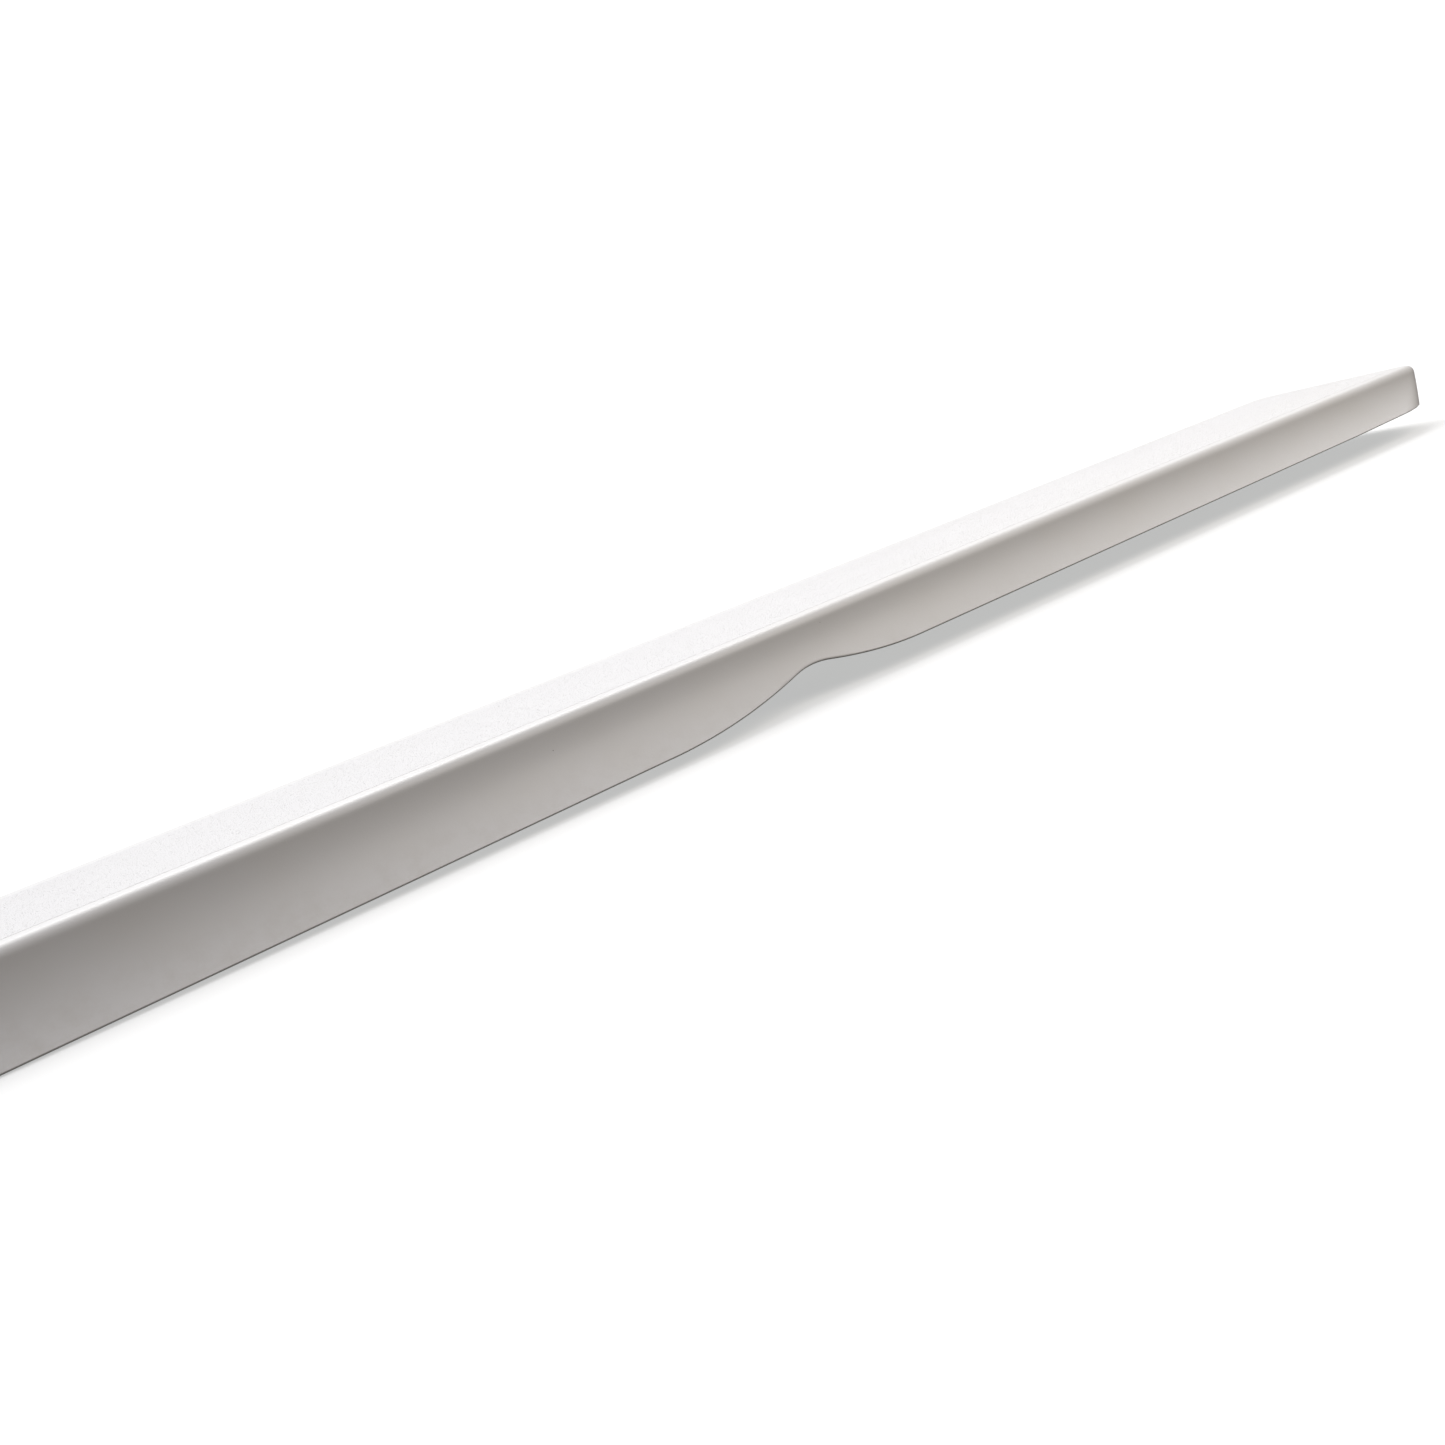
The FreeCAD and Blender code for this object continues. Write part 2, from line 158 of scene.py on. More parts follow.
def add_node(tree, kind, settings=None, **inputs):
    """Add a node, set its choices and feed its inputs by name."""
    node = tree.nodes.new(kind)
    for name, value in (settings or {}).items():
        setattr(node, name, value)
    for name, value in inputs.items():
        plug(tree, node.inputs[name.replace("_", " ")], value)
    return node


def choose(tree, condition, otherwise, chosen):
    """One of two numbers, by a condition."""
    node = add_node(tree, "GeometryNodeSwitch", {"input_type": "FLOAT"})
    plug(tree, node.inputs["Switch"], condition)
    plug(tree, node.inputs["False"], otherwise)
    plug(tree, node.inputs["True"], chosen)
    return Flow(tree, node.outputs[0])


# %% Start a tree, end it, and keep what grows from it
MERGE_DISTANCE = 1e-5
SMOOTH_ANGLE = math.radians(40)


def new_tree(name, sizes):
    """A Geometry Nodes tree with one named input for each size."""
    tree = bpy.data.node_groups.new(name, "GeometryNodeTree")
    for label in sizes:
        tree.interface.new_socket(label, in_out="INPUT", socket_type="NodeSocketFloat")
    tree.interface.new_socket("Geometry", in_out="OUTPUT", socket_type="NodeSocketGeometry")
    entry = tree.nodes.new("NodeGroupInput")
    return tree, {label: Flow(tree, entry.outputs[label]) for label in sizes}


def close_tree(tree, geometry, material):
    """End a tree in real geometry with its material."""
    real = add_node(tree, "GeometryNodeRealizeInstances", Geometry=geometry)
    finish = add_node(tree, "GeometryNodeSetMaterial", Geometry=real.outputs[0], Material=material)
    leave = tree.nodes.new("NodeGroupOutput")
    tree.links.new(finish.outputs[0], leave.inputs[0])


def grow(name, tree, sizes, merge=MERGE_DISTANCE):
    """Run a tree on an empty mesh and keep the result as a plain, closed mesh."""
    holder = bpy.data.objects.new(name + "_holder", bpy.data.meshes.new(name + "_holder"))
    bpy.context.scene.collection.objects.link(holder)
    modifier = holder.modifiers.new("rule", "NODES")
    modifier.node_group = tree
    for item in tree.interface.items_tree:
        if item.item_type == "SOCKET" and item.in_out == "INPUT" and item.name in sizes:
            modifier[item.identifier] = sizes[item.name]
    evaluated = holder.evaluated_get(bpy.context.evaluated_depsgraph_get())
    mesh = bpy.data.meshes.new_from_object(evaluated)
    mesh.name = name
    bpy.data.objects.remove(holder, do_unlink=True)
    work = bmesh.new()
    work.from_mesh(mesh)
    if merge:
        bmesh.ops.remove_doubles(work, verts=work.verts, dist=merge)
    bmesh.ops.recalc_face_normals(work, faces=work.faces)
    open_edges = sum(1 for edge in work.edges if len(edge.link_faces) != 2)
    for face in work.faces:
        face.smooth = True
    work.to_mesh(mesh)
    work.free()
    mesh.set_sharp_from_angle(angle=SMOOTH_ANGLE)
    piece = bpy.data.objects.new(name, mesh)
    bpy.context.scene.collection.objects.link(piece)
    print(f"{name}: {len(mesh.polygons)} faces, {open_edges} open edges")
    return piece


# %% [markdown]
# ## Finishes
#
# A shader is built the same way as a tree: a few named layers, each with its own
# scale. `Finish` starts one. It gives the Principled shader and a few helpers for
# noise, cells, ranges, mixed colours and bump, all in the board's own coordinates.


# %% Shader helpers
class Finish:
    """A procedural finish, built layer by layer."""

    def __init__(self, name):
        self.material = bpy.data.materials.new(name)
        self.material.use_nodes = True
        self.tree = self.material.node_tree
        self.tree.nodes.clear()
        output = self.tree.nodes.new("ShaderNodeOutputMaterial")
        self.shader = self.tree.nodes.new("ShaderNodeBsdfPrincipled")
        self.tree.links.new(self.shader.outputs[0], output.inputs["Surface"])
        self.place = self.tree.nodes.new("ShaderNodeTexCoord").outputs["Object"]
        self.normal = None

    def put(self, name, value):
        plug(self.tree, self.shader.inputs[name], value)

    def stretched(self, scale, turn=(0, 0, 0)):
        node = add_node(self.tree, "ShaderNodeMapping", Vector=self.place)
        node.inputs["Scale"].default_value = scale
        node.inputs["Rotation"].default_value = turn
        return node.outputs[0]

    def noise(self, scale, detail=2.0, roughness=0.5, place=None):
        node = add_node(self.tree, "ShaderNodeTexNoise", Vector=place or self.place,
                        Scale=scale, Detail=detail, Roughness=roughness)
        return Flow(self.tree, node.outputs["Fac"])

    def cells(self, scale):
        node = add_node(self.tree, "ShaderNodeTexVoronoi", Vector=self.place, Scale=scale)
        return Flow(self.tree, node.outputs["Distance"])

    def between(self, value, low, high, to_low=0.0, to_high=1.0):
        node = add_node(self.tree, "ShaderNodeMapRange", Value=value)
        for name, number in (("From Min", low), ("From Max", high),
                             ("To Min", to_low), ("To Max", to_high)):
            node.inputs[name].default_value = number
        return Flow(self.tree, node.outputs[0])

    def mix(self, share, first, second):
        """Two colours mixed by a share. Each is a colour or a socket."""
        node = add_node(self.tree, "ShaderNodeMix", {"data_type": "RGBA"})
        plug(self.tree, node.inputs[0], share)
        plug(self.tree, node.inputs[6], first)
        plug(self.tree, node.inputs[7], second)
        return node.outputs[2]

    def relief(self, height, depth, strength):
        """Add a layer of bump, depth in metres."""
        node = add_node(self.tree, "ShaderNodeBump", Height=height, Strength=strength,
                        Distance=depth, Normal=self.normal)
        self.normal = node.outputs[0]
        self.put("Normal", self.normal)

    def height(self):
        """How far above the board's own zero a point lies."""
        split = add_node(self.tree, "ShaderNodeSeparateXYZ", Vector=self.place)
        return Flow(self.tree, split.outputs["Z"])


def rgb(red, green, blue):
    """A solid colour."""
    return (red, green, blue, 1.0)


# %% [markdown]
# ## White gelcoat
#
# The shell's skin is gelcoat: white pigmented resin polished by the mould. It
# isn't quite even. The sun yellows it a little, damp dust settles low on the
# cove, the pull of the resin leaves a faint ripple under the gloss, and a few
# pin-holes hold dirt. Each of those is a layer here, and none is strong.


# %% The gelcoat
def gelcoat():
    skin = Finish("white_gelcoat")
    clouds = skin.noise(1.6, 3)
    fine_clouds = skin.noise(14.0, 4)
    clean = skin.mix(clouds, rgb(0.78, 0.78, 0.785), rgb(0.82, 0.815, 0.80))
    yellowing = skin.between(fine_clouds, 0.35, 0.8, 0.0, 0.22)
    aged = skin.mix(yellowing, clean, rgb(0.74, 0.72, 0.67))
    low_band = skin.between(skin.height(), 0.055, 0.0, 0.0, 1.0)
    dust = low_band * skin.between(skin.noise(45.0, 5, 0.65), 0.45, 0.75, 0.0, 0.30)
    dusty = skin.mix(dust, aged, rgb(0.55, 0.51, 0.45))
    holes = skin.between(skin.cells(60.0), 0.055, 0.035)
    rare = skin.between(skin.noise(9.0, 1), 0.66, 0.70)
    skin.put("Base Color", skin.mix(holes * rare * 0.8, dusty, rgb(0.16, 0.14, 0.12)))
    rub = skin.noise(5.0, 4, 0.6, skin.stretched((0.35, 3.0, 3.0)))
    skin.put("Roughness", skin.between(rub, 0.3, 0.7, 0.33, 0.48) + dust * 0.4)
    skin.put("IOR", 1.5)
    skin.put("Coat Weight", 0.10)
    skin.put("Coat Roughness", 0.30)
    skin.relief(skin.noise(26.0, 2), 0.0005, 0.3)
    skin.relief(skin.noise(420.0, 2), 0.00008, 0.5)
    skin.relief(holes * rare * -1.0, 0.0004, 0.8)
    return skin.material


gelcoat_finish = gelcoat()
print("finish:", gelcoat_finish.name)

# %% [markdown]
# ## The moulded shell
#
# The shell could be lofted by hand, but its shape is a rule: take the deck's
# outline, and at every point of it hang the same section, as deep as the board's
# taper says there and cut short where the lip is trimmed. So the tree makes the
# outline as a curve, sweeps a plain line round it, and then moves each point to
# where the rule puts it. The trim line is worked out first: three arcs, each
# touching the next, and a straight run ahead of them.


# %% Where the trim line's arcs touch
def moulded_lip(x):
    """Height of the untrimmed lip."""
    return DECK - SKIRT_REAR + (SKIRT_REAR - SKIRT_TIP) * (x / LENGTH + 0.5)


def touching_arc(crown, radius, height_of_foot, direction):
    """Centre of a foot arc that touches the crown arc, from the height of its foot, and where they
    touch.
    """
    centre_z = height_of_foot + radius
    run = math.sqrt((CROWN + radius) ** 2 - (centre_z - crown[1]) ** 2)
    centre = (crown[0] + direction * run, centre_z)
    share = CROWN / (CROWN + radius)
    joint = crown[0] + (centre[0] - crown[0]) * share
    return centre, joint


crown_centre = (NOTCH_X, DECK - NOTCH_DEPTH - CROWN)
REAR_FOOT_BACK = 0.250
rear_centre, rear_joint = touching_arc(crown_centre, REAR_FOOT,
                                       moulded_lip(NOTCH_X - REAR_FOOT_BACK), -1)
slope = (SKIRT_REAR - SKIRT_TIP) / LENGTH
rear_foot_x = rear_centre[0] + REAR_FOOT * math.sin(math.atan(slope))
front_centre, front_joint = touching_arc(crown_centre, FRONT_FOOT, DECK - FRONT_FOOT_DEPTH, 1)
front_slope = (moulded_lip(TRIM_END_X) - DECK + FRONT_FOOT_DEPTH) / (TRIM_END_X - front_centre[0])
front_foot_x = front_centre[0] + FRONT_FOOT * math.sin(math.atan(front_slope))
print(f"notch from {rear_foot_x:.3f} to {front_foot_x:.3f},",
      f"joints {rear_joint:.3f} {front_joint:.3f}")

# %% [markdown]
# The tree's inputs are the board's sizes under their own names, so the same tree
# makes a shorter, wider or deeper board.

# %% Named inputs of the shell tree
SHELL_SIZES = {
    "Length": LENGTH, "Width": WIDTH, "Flare": FLARE, "Tip flare": TIP_FLARE,
    "Cove power": COVE_POWER, "Deck height": DECK, "Skirt at rear": SKIRT_REAR,
    "Skirt at tip": SKIRT_TIP, "Wall": WALL, "Shoulder": SHOULDER, "Corner": DECK_CORNER,
    "Corner growth": LIP_CORNER_GROWTH, "Rear corner growth": REAR_CORNER_GROWTH,
    "Crown x": crown_centre[0], "Crown z": crown_centre[1],
    "Crown radius": CROWN, "Rear foot x": rear_centre[0], "Rear foot z": rear_centre[1],
    "Rear foot radius": REAR_FOOT, "Front foot x": front_centre[0],
    "Front foot z": front_centre[1], "Front foot radius": FRONT_FOOT,
    "Rear start": rear_foot_x, "Rear joint": rear_joint, "Front joint": front_joint,
    "Front end": front_foot_x, "Trim end": TRIM_END_X, "Lip round": LIP_ROUND,
    "Deck rim": DECK_RIM,
}
print("the shell tree takes", len(SHELL_SIZES), "sizes")


# %% The outline, with its outward direction kept on every point
def board_outline(tree, size, spacing):
    """The deck's rounded rectangle as a curve, with its place and outward direction stored."""
    rectangle = add_node(tree, "GeometryNodeCurvePrimitiveQuadrilateral",
                         Width=size["Length"] - size["Flare"] - size["Tip flare"],
                         Height=size["Width"] - size["Flare"] * 2)
    rounded = add_node(tree, "GeometryNodeFilletCurve", {"mode": "POLY"},
                       Curve=rectangle.outputs[0], Radius=size["Corner"], Count=16)
    shift = add_node(tree, "ShaderNodeCombineXYZ", X=(size["Flare"] - size["Tip flare"]) / 2)
    moved = add_node(tree, "GeometryNodeSetPosition", Geometry=rounded.outputs[0],
                     Offset=shift.outputs[0])
    even = add_node(tree, "GeometryNodeResampleCurve", {"mode": "LENGTH"},
                    Curve=moved.outputs[0], Length=spacing)
    place = tree.nodes.new("GeometryNodeInputPosition").outputs[0]
    along = tree.nodes.new("GeometryNodeInputTangent").outputs[0]
    across = add_node(tree, "ShaderNodeVectorMath", {"operation": "CROSS_PRODUCT"})
    tree.links.new(along, across.inputs[0])
    across.inputs[1].default_value = (0, 0, 1)
    facing = add_node(tree, "ShaderNodeVectorMath", {"operation": "DOT_PRODUCT"})
    tree.links.new(across.outputs[0], facing.inputs[0])
    tree.links.new(place, facing.inputs[1])
    sign = Flow(tree, facing.outputs["Value"]).step("SIGN")
    outward = add_node(tree, "ShaderNodeVectorMath", {"operation": "SCALE"})
    tree.links.new(across.outputs[0], outward.inputs[0])
    tree.links.new(sign.socket, outward.inputs["Scale"])
    kept = even.outputs[0]
    for name, value in (("edge_place", place), ("outward", outward.outputs[0])):
        store = add_node(tree, "GeometryNodeStoreNamedAttribute",
                         {"data_type": "FLOAT_VECTOR", "domain": "POINT"},
                         Geometry=kept, Name=name, Value=value)
        kept = store.outputs[0]
    return kept


def stored(tree, name, kind="FLOAT_VECTOR"):
    node = add_node(tree, "GeometryNodeInputNamedAttribute", {"data_type": kind}, Name=name)
    return node.outputs["Attribute"]


def parts_of(tree, vector):
    """A vector's x, y and z as flows."""
    split = add_node(tree, "ShaderNodeSeparateXYZ", Vector=vector)
    return [Flow(tree, output) for output in split.outputs]


# %% [markdown]
# How far a point moves depends on where it is. A long side moves out by the whole
# flare, the tip's end face by much less, and the corners get rounder with depth,
# so that a corner of the board stands nearly upright. `swell` is that rule: each
# corner is a quarter circle whose radius grows, and the straight sides beside it
# are drawn along a little so that no faces crowd together.

# %% How the outline swells with depth
BLEND = 0.25


def swell(tree, size, share, inset):
    """The outline's points for a share of the whole flare, moved in by an inset."""
    x, y, _ = parts_of(tree, stored(tree, "edge_place"))
    nx, ny, _ = parts_of(tree, stored(tree, "outward"))
    at_tip = x.step("GREATER_THAN", 0.0)
    end_flare = choose(tree, at_tip, size["Flare"], size["Tip flare"])
    end_x = size["Length"] / 2 - end_flare
    side_y = size["Width"] / 2 - size["Flare"]
    growth = choose(tree, at_tip, size["Rear corner growth"], size["Corner growth"])
    rounder = growth * share - inset
    near_end = (1.0 - (end_x - size["Corner"] - x.step("ABSOLUTE")) / BLEND)
    near_end = near_end.step("MAXIMUM", 0.0).step("MINIMUM", 1.0)
    near_side = (y.step("ABSOLUTE") / (side_y - size["Corner"])).step("MINIMUM", 1.0)
    grow_x = end_flare * share - inset - rounder * (1.0 - nx.step("ABSOLUTE"))
    grow_y = size["Flare"] * share - inset - rounder * (1.0 - ny.step("ABSOLUTE"))
    return x + x.step("SIGN") * grow_x * near_end, y + y.step("SIGN") * grow_y * near_side


# %% Sweep a line round the outline and put its points where the rule says
def sweep_line(tree, outline, count):
    """Sweep a line of count points round the outline and number the points 0 to 1."""
    line = add_node(tree, "GeometryNodeCurvePrimitiveLine")
    line.inputs["End"].default_value = (0, 0.001, 0)
    fine = add_node(tree, "GeometryNodeResampleCurve", {"mode": "COUNT"},
                    Curve=line.outputs[0], Count=count)
    share = tree.nodes.new("GeometryNodeSplineParameter").outputs["Factor"]
    numbered = add_node(tree, "GeometryNodeStoreNamedAttribute",
                        {"data_type": "FLOAT", "domain": "POINT"},
                        Geometry=fine.outputs[0], Name="share", Value=share)
    swept = add_node(tree, "GeometryNodeCurveToMesh", Curve=outline,
                     Profile_Curve=numbered.outputs[0])
    return swept.outputs[0], Flow(tree, stored(tree, "share", "FLOAT"))


def put_points(tree, mesh, x, y, z):
    """Move every point to its worked-out place."""
    place = add_node(tree, "ShaderNodeCombineXYZ", X=x, Y=y, Z=z)
    return add_node(tree, "GeometryNodeSetPosition", Geometry=mesh,
                    Position=place.outputs[0]).outputs[0]


# %% The lip's height along the board, as nodes
def lip_height(tree, size, x):
    """The moulded taper, cut by the trim line's arcs and straight run."""
    share = x / size["Length"] + 0.5
    moulded = size["Deck height"] - size["Skirt at rear"] \
        + (size["Skirt at rear"] - size["Skirt at tip"]) * share

    def arc(name, sign):
        off = x - size[f"{name} x"]
        radius = size[f"{name} radius"]
        reach = (radius * radius - off * off).step("MAXIMUM", 0.0).step("SQRT")
        return size[f"{name} z"] + reach * sign

    end_share = size["Trim end"] / size["Length"] + 0.5
    end_height = size["Deck height"] - size["Skirt at rear"] \
        + (size["Skirt at rear"] - size["Skirt at tip"]) * end_share
    start_off = size["Front end"] - size["Front foot x"]
    front_radius = size["Front foot radius"]
    reach = (front_radius * front_radius - start_off * start_off).step("SQRT")
    start_height = size["Front foot z"] - reach
    run = (x - size["Front end"]) / (size["Trim end"] - size["Front end"])
    straight = start_height + (end_height - start_height) * run
    height = moulded
    for begins, stretch in (
        ("Rear start", arc("Rear foot", -1.0)),
        ("Rear joint", arc("Crown", 1.0)),
        ("Front joint", arc("Front foot", -1.0)),
        ("Front end", straight),
        ("Trim end", moulded),
    ):
        height = choose(tree, x.step("GREATER_THAN", size[begins]), height, stretch)
    return size["Deck height"] - height, size["Deck height"] - moulded


# %% [markdown]
# The section is four stretches: a flat rim and the shoulder's quarter circle, the
# cove, a rounded lip, and the inside wall. The deck and the ceiling under it are
# flat plates with two bolt holes. All are joined, and their shared points merged,
# so the shell ends as one closed skin.


# %% Shares of the section, and how many points each stretch has
RIM_END = 0.05
SHOULDER_END = 0.30
SKIN_POINTS = 46
LIP_POINTS = 9
INNER_POINTS = 16
LIP_SKEW = 0.2
LIP_DROP = 0.96
print("points in a section:", SKIN_POINTS, "outside,", LIP_POINTS, "round the lip and",
      INNER_POINTS, "inside")


# %% The shell tree
def shell_tree(spacing, material):
    """The whole shell: skin, lip, inside wall, deck, ceiling and bolt holes."""
    tree, size = new_tree("Moulded shell", SHELL_SIZES)
    outline = board_outline(tree, size, spacing)
    lip_x, _ = swell(tree, size, constant(tree, 1.0), 0.0)
    trimmed, moulded = lip_height(tree, size, lip_x)
    power, half, top = size["Cove power"], size["Wall"] / 2, size["Deck height"]
    steep = power * size["Flare"] / moulded * (trimmed / moulded) ** (power - 1.0)
    drop = size["Lip round"] * (steep * steep + 1.0).step("INVERSE_SQRT")
    end = trimmed - drop

    def share_at(depth):
        return (depth / moulded) ** power

    # rim, shoulder and cove
    skin, share = sweep_line(tree, outline, SKIN_POINTS)
    rim = (share / RIM_END).step("MINIMUM", 1.0)
    turn = (share - RIM_END) / (SHOULDER_END - RIM_END)
    turn = turn.step("MAXIMUM", 0.0).step("MINIMUM", 1.0) * (math.pi / 2)
    fall = ((share - SHOULDER_END) / (1.0 - SHOULDER_END)).step("MAXIMUM", 0.0)
    radius = size["Shoulder"]
    depth = radius * (1.0 - turn.step("COSINE")) + fall * (end - radius)
    inset = radius * (1.0 - turn.step("SINE")) + size["Deck rim"] * (1.0 - rim)
    pieces = [put_points(tree, skin, *swell(tree, size, share_at(depth), inset), top - depth)]

    # rounded lip
    lip, share = sweep_line(tree, outline, LIP_POINTS)
    angle = share * math.pi
    inset = half * (1.0 - angle.step("COSINE")) - drop * steep * angle.step("SINE") * LIP_SKEW
    height = top - end - drop * angle.step("SINE") * LIP_DROP
    pieces.append(put_points(tree, lip, *swell(tree, size, share_at(end), inset), height))

    # inside wall, from the lip up to the ceiling
    inner, share = sweep_line(tree, outline, INNER_POINTS)
    depth = end + (size["Wall"] - end) * share
    pieces.append(put_points(tree, inner, *swell(tree, size, share_at(depth), size["Wall"]),
                             top - depth))

    # deck and ceiling, each with the two bolt holes
    none = constant(tree, 0.0)
    for share, inset, height in (
        (none, size["Shoulder"] + size["Deck rim"], top),
        (share_at(size["Wall"]), size["Wall"], top - size["Wall"]),
    ):
        rim_curve = put_points(tree, outline, *swell(tree, size, share, inset), height)
        joined = tree.nodes.new("GeometryNodeJoinGeometry")
        tree.links.new(rim_curve, joined.inputs[0])
        for hole in bolt_circles(tree, height):
            tree.links.new(hole, joined.inputs[0])
        plate = add_node(tree, "GeometryNodeFillCurve", Curve=joined.outputs[0])
        pieces.append(put_height(tree, plate.outputs[0], height))
    pieces += bolt_walls(tree, top, size["Wall"])
    together = tree.nodes.new("GeometryNodeJoinGeometry")
    for part in pieces:
        tree.links.new(part, together.inputs[0])
    close_tree(tree, together.outputs[0], material)
    return tree


# %% Plates and bolt holes
def put_height(tree, geometry, height):
    """Level every point at a height, because filling a curve leaves it on the floor."""
    place = add_node(tree, "ShaderNodeSeparateXYZ",
                     Vector=tree.nodes.new("GeometryNodeInputPosition").outputs[0])
    raised = add_node(tree, "ShaderNodeCombineXYZ", X=place.outputs["X"],
                      Y=place.outputs["Y"], Z=height)
    return add_node(tree, "GeometryNodeSetPosition", Geometry=geometry,
                    Position=raised.outputs[0]).outputs[0]


def bolt_circles(tree, height):
    """The two bolt holes as circles at a height."""
    for place in sleeve_places:
        ring = add_node(tree, "GeometryNodeCurvePrimitiveCircle", Resolution=40,
                        Radius=BOLT_SLEEVE)
        shift = add_node(tree, "GeometryNodeTransform", Geometry=ring.outputs[0])
        lift = add_node(tree, "ShaderNodeCombineXYZ", X=place[0], Y=place[1], Z=height)
        tree.links.new(lift.outputs[0], shift.inputs["Translation"])
        yield shift.outputs[0]


def bolt_walls(tree, top, wall):
    """The round walls of the bolt holes, from the deck to the ceiling."""
    walls = []
    for ring in bolt_circles(tree, top):
        line = add_node(tree, "GeometryNodeCurvePrimitiveLine")
        fine = add_node(tree, "GeometryNodeResampleCurve", {"mode": "COUNT"},
                        Curve=line.outputs[0], Count=2)
        share = tree.nodes.new("GeometryNodeSplineParameter").outputs["Factor"]
        numbered = add_node(tree, "GeometryNodeStoreNamedAttribute",
                            {"data_type": "FLOAT", "domain": "POINT"},
                            Geometry=fine.outputs[0], Name="share", Value=share)
        ring_place = tree.nodes.new("GeometryNodeInputPosition").outputs[0]
        spot = add_node(tree, "GeometryNodeStoreNamedAttribute",
                        {"data_type": "FLOAT_VECTOR", "domain": "POINT"}, Geometry=ring,
                        Name="ring_place", Value=ring_place)
        tube = add_node(tree, "GeometryNodeCurveToMesh", Curve=spot.outputs[0],
                        Profile_Curve=numbered.outputs[0])
        place = add_node(tree, "ShaderNodeSeparateXYZ", Vector=stored(tree, "ring_place"))
        height = top - wall * Flow(tree, stored(tree, "share", "FLOAT"))
        put = add_node(tree, "ShaderNodeCombineXYZ", X=place.outputs["X"],
                       Y=place.outputs["Y"], Z=height)
        walls.append(add_node(tree, "GeometryNodeSetPosition", Geometry=tube.outputs[0],
                              Position=put.outputs[0]).outputs[0])
    return walls


# %% Make the shell
OUTLINE_STEP = 0.007
moulded_shell = grow("moulded_shell", shell_tree(OUTLINE_STEP, gelcoat_finish), SHELL_SIZES)
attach(moulded_shell, "root")
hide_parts("deck_shell")
corners = [Vector(c) for c in moulded_shell.bound_box]
print("shell from", tuple(round(min(c[i] for c in corners), 4) for i in range(3)),
      "to", tuple(round(max(c[i] for c in corners), 4) for i in range(3)))

# %% [markdown]
# ## Non-slip tread
#
# The walking surface is a coat of white paint with sand thrown into it while it
# is wet. A film alone would look printed on, and a bump alone has no outline at
# the edges, so the film is a thin closed plate and the coarsest grains are real
# ones, a few dozen thousand small three-sided points scattered over it. The fine
# sand between them is left to the finish. A smooth border stays round the coat.


# %% The sanded finish
def sanded_paint():
    coat = Finish("sanded_tread")
    sand = coat.cells(900.0)
    fine_sand = coat.noise(2600.0, 2, 0.6)
    patches = coat.noise(3.0, 4, 0.6)
    long_wear = coat.noise(2.2, 3, 0.6, coat.stretched((0.6, 4.0, 1.0)))
    fresh = coat.mix(patches, rgb(0.80, 0.80, 0.815), rgb(0.84, 0.84, 0.845))
    wear = coat.between(long_wear, 0.52, 0.78, 0.0, 0.35)
    trodden = coat.mix(wear, fresh, rgb(0.76, 0.755, 0.745))
    grit = coat.between(sand, 0.0, 0.6, 0.0, 1.0)
    coat.put("Base Color", coat.mix(grit * 0.22, trodden, rgb(0.66, 0.65, 0.63)))
    coat.put("Roughness", coat.between(fine_sand, 0.3, 0.7, 0.55, 0.85))
    coat.put("IOR", 1.48)
    coat.relief(coat.between(sand, 0.0, 0.7, 1.0, 0.0), 0.0003, 0.5)
    coat.relief(fine_sand, 0.0001, 0.4)
    return coat.material


sanded_finish = sanded_paint()
print("finish:", sanded_finish.name)

# %% The tread tree
tread_low, tread_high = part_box("anti_slip_tread")
TREAD_SIZES = {
    "Length": tread_high[0] - tread_low[0], "Width": tread_high[1] - tread_low[1],
    "Middle": (tread_high[0] + tread_low[0]) / 2, "Base": tread_low[2], "Corner": 0.030,
    "Film": 0.00022, "Grain": 0.00055, "Grain height": 0.00042, "Grains per square": 65000.0,
}
BARE_BORDER = 0.004
GRAIN_FOOT = 0.9
GRAIN_SEED, HEADING_SEED, GROWTH_SEED = 11, 12, 13
FULL_TURN = 6.283
SMALLEST_GRAIN = 0.45
TREAD_CORNER_POINTS = 12
print("tread measures", round(TREAD_SIZES["Length"], 3), "by", round(TREAD_SIZES["Width"], 3))


def plate_outline(tree, length, width, corner, middle, count):
    """A rounded rectangle as a curve, moved along the board."""
    rectangle = add_node(tree, "GeometryNodeCurvePrimitiveQuadrilateral", Width=length,
                         Height=width)
    rounded = add_node(tree, "GeometryNodeFilletCurve", {"mode": "POLY"},
                       Curve=rectangle.outputs[0], Radius=corner, Count=count)
    shift = add_node(tree, "ShaderNodeCombineXYZ", X=middle)
    return add_node(tree, "GeometryNodeSetPosition", Geometry=rounded.outputs[0],
                    Offset=shift.outputs[0]).outputs[0]


def closed_plate(tree, outline, base, thickness):
    """A filled outline drawn up into a closed plate."""
    fill = add_node(tree, "GeometryNodeFillCurve", Curve=outline)
    floor_face = put_height(tree, fill.outputs[0], base)
    up = add_node(tree, "ShaderNodeCombineXYZ", Z=thickness)
    raised = add_node(tree, "GeometryNodeExtrudeMesh", Mesh=floor_face, Offset=up.outputs[0],
                      Individual=False)
    plate = tree.nodes.new("GeometryNodeJoinGeometry")
    tree.links.new(raised.outputs[0], plate.inputs[0])
    tree.links.new(floor_face, plate.inputs[0])
    return add_node(tree, "GeometryNodeMergeByDistance", Geometry=plate.outputs[0],
                    Distance=MERGE_DISTANCE).outputs[0]


